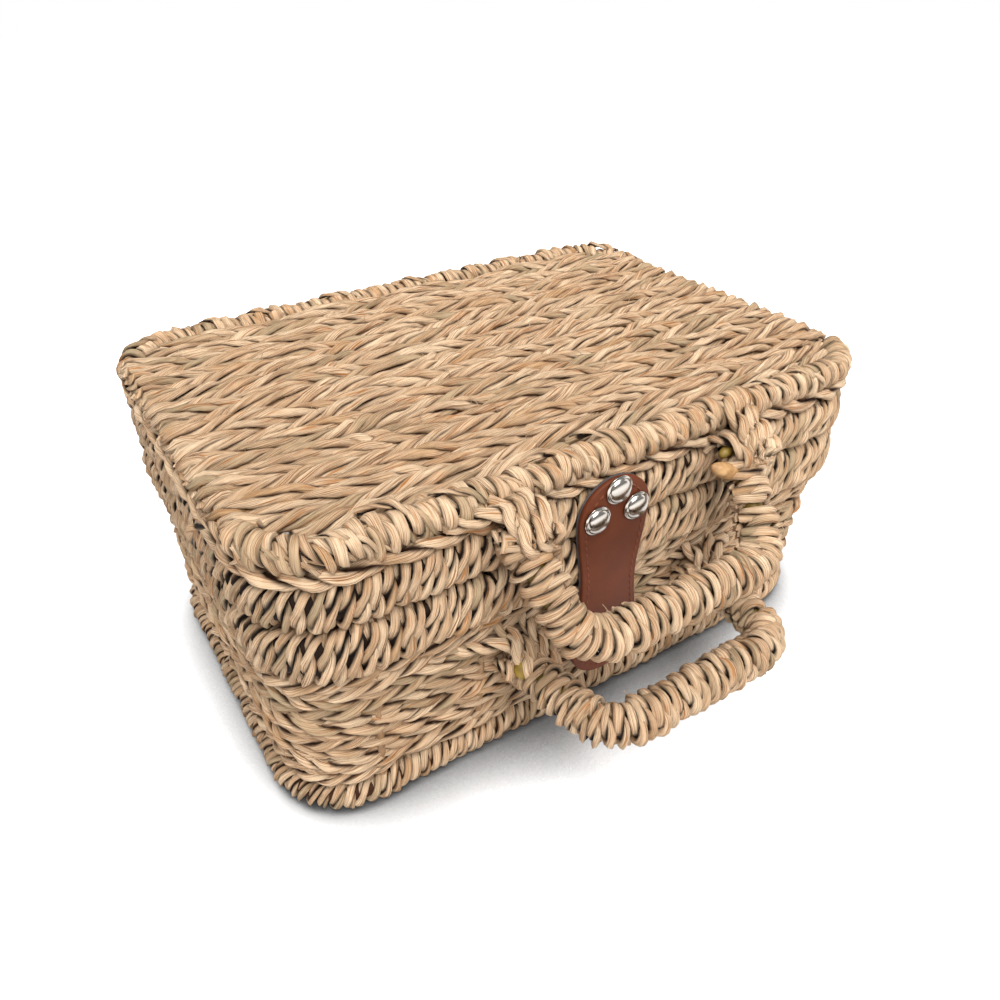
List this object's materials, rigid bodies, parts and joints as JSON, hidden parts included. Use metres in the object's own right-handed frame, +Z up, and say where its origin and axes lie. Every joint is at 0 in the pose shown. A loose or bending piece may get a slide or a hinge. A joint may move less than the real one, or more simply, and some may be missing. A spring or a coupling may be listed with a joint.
{
  "type": "woven lidded box",
  "caption": "Small suitcase-shaped basket of woven seagrass with a hinged lid, cord-wound front handles and a riveted leather strap closing on a magnetic snap.",
  "frame": {"origin": "centre of the floor's underside, on the plane that the case rests on", "axes": "+X along the front to the right, -Y out of the front with the handles, +Z up"},
  "size_m": [0.272, 0.2443, 0.1317],
  "materials": {
    "seagrass": "dry twisted grass cord, matt, straw to grey-green with brown flecks",
    "cane": "peeled cane, olive yellow to pale straw, satin",
    "leather": "brown grained leather, satin, with dark edge",
    "nickel": "polished nickel"
  },
  "bodies": {
    "base": {"base_floor_panel": "seagrass", "base_wall": "seagrass", "base_foot_wrap": "seagrass", "base_band_wrap": "seagrass", "base_foot_hoop": "cane", "base_band_hoop": "cane", "base_stake_1": "cane", "base_stake_2": "cane", "base_stake_3": "cane", "base_stake_4": "cane", "base_stake_5": "cane", "base_stake_6": "cane", "base_stake_7": "cane", "base_stake_8": "cane", "base_stake_9": "cane", "base_stake_10": "cane", "floor_stake_1": "cane", "floor_stake_2": "cane", "hinge_lashing_left": "seagrass", "hinge_lashing_right": "seagrass", "base_handle_tie_left": "seagrass", "base_handle_tie_right": "seagrass", "snap_patch": "leather", "snap_stud": "nickel", "snap_stud_burr": "nickel"},
    "lid": {"lid_top_panel": "seagrass", "lid_rim_wrap": "seagrass", "lid_side_row": "seagrass", "lid_band_wrap": "seagrass", "lid_band_hoop": "cane", "lid_rim_hoop": "cane", "lid_stake_1": "cane", "lid_stake_2": "cane", "lid_stake_3": "cane", "lid_stake_4": "cane", "lid_stake_5": "cane", "lid_stake_6": "cane", "lid_stake_7": "cane", "lid_stake_8": "cane", "lid_stake_9": "cane", "lid_stake_10": "cane", "lid_panel_stake_1": "cane", "lid_panel_stake_2": "cane", "lid_handle_tie_left": "seagrass", "lid_handle_tie_right": "seagrass", "strap_anchor": "leather", "strap_rivet_1": "nickel", "strap_rivet_2": "nickel", "strap_rivet_3": "nickel", "strap_burr_1": "nickel", "strap_burr_2": "nickel", "strap_burr_3": "nickel"},
    "lid_handle": {"lid_handle_core": "cane", "lid_handle_winding": "seagrass"},
    "base_handle": {"base_handle_core": "cane", "base_handle_winding": "seagrass"},
    "strap": {"strap_flap": "leather", "snap_cap": "nickel", "snap_socket": "nickel"}
  },
  "joints": [
    {"name": "lid_hinge", "type": "hinge", "parent": "base", "child": "lid", "pos_m": [0, 0.09, 0.1025], "axis": [-1, 0, 0], "range_deg": [0, 105]},
    {"name": "lid_handle_swing", "type": "hinge", "parent": "lid", "child": "lid_handle", "pos_m": [-0.004, -0.102, 0.1153], "axis": [-1, 0, 0], "range_deg": [-12, 118]},
    {"name": "base_handle_swing", "type": "hinge", "parent": "base", "child": "base_handle", "pos_m": [0, -0.09758, 0.0525], "axis": [-1, 0, 0], "range_deg": [-65, 16]},
    {"name": "strap_flex", "type": "hinge", "parent": "lid", "child": "strap", "pos_m": [-0.0088, -0.0988, 0.099], "axis": [-1, 0, 0], "range_deg": [0, 25]}
  ]
}
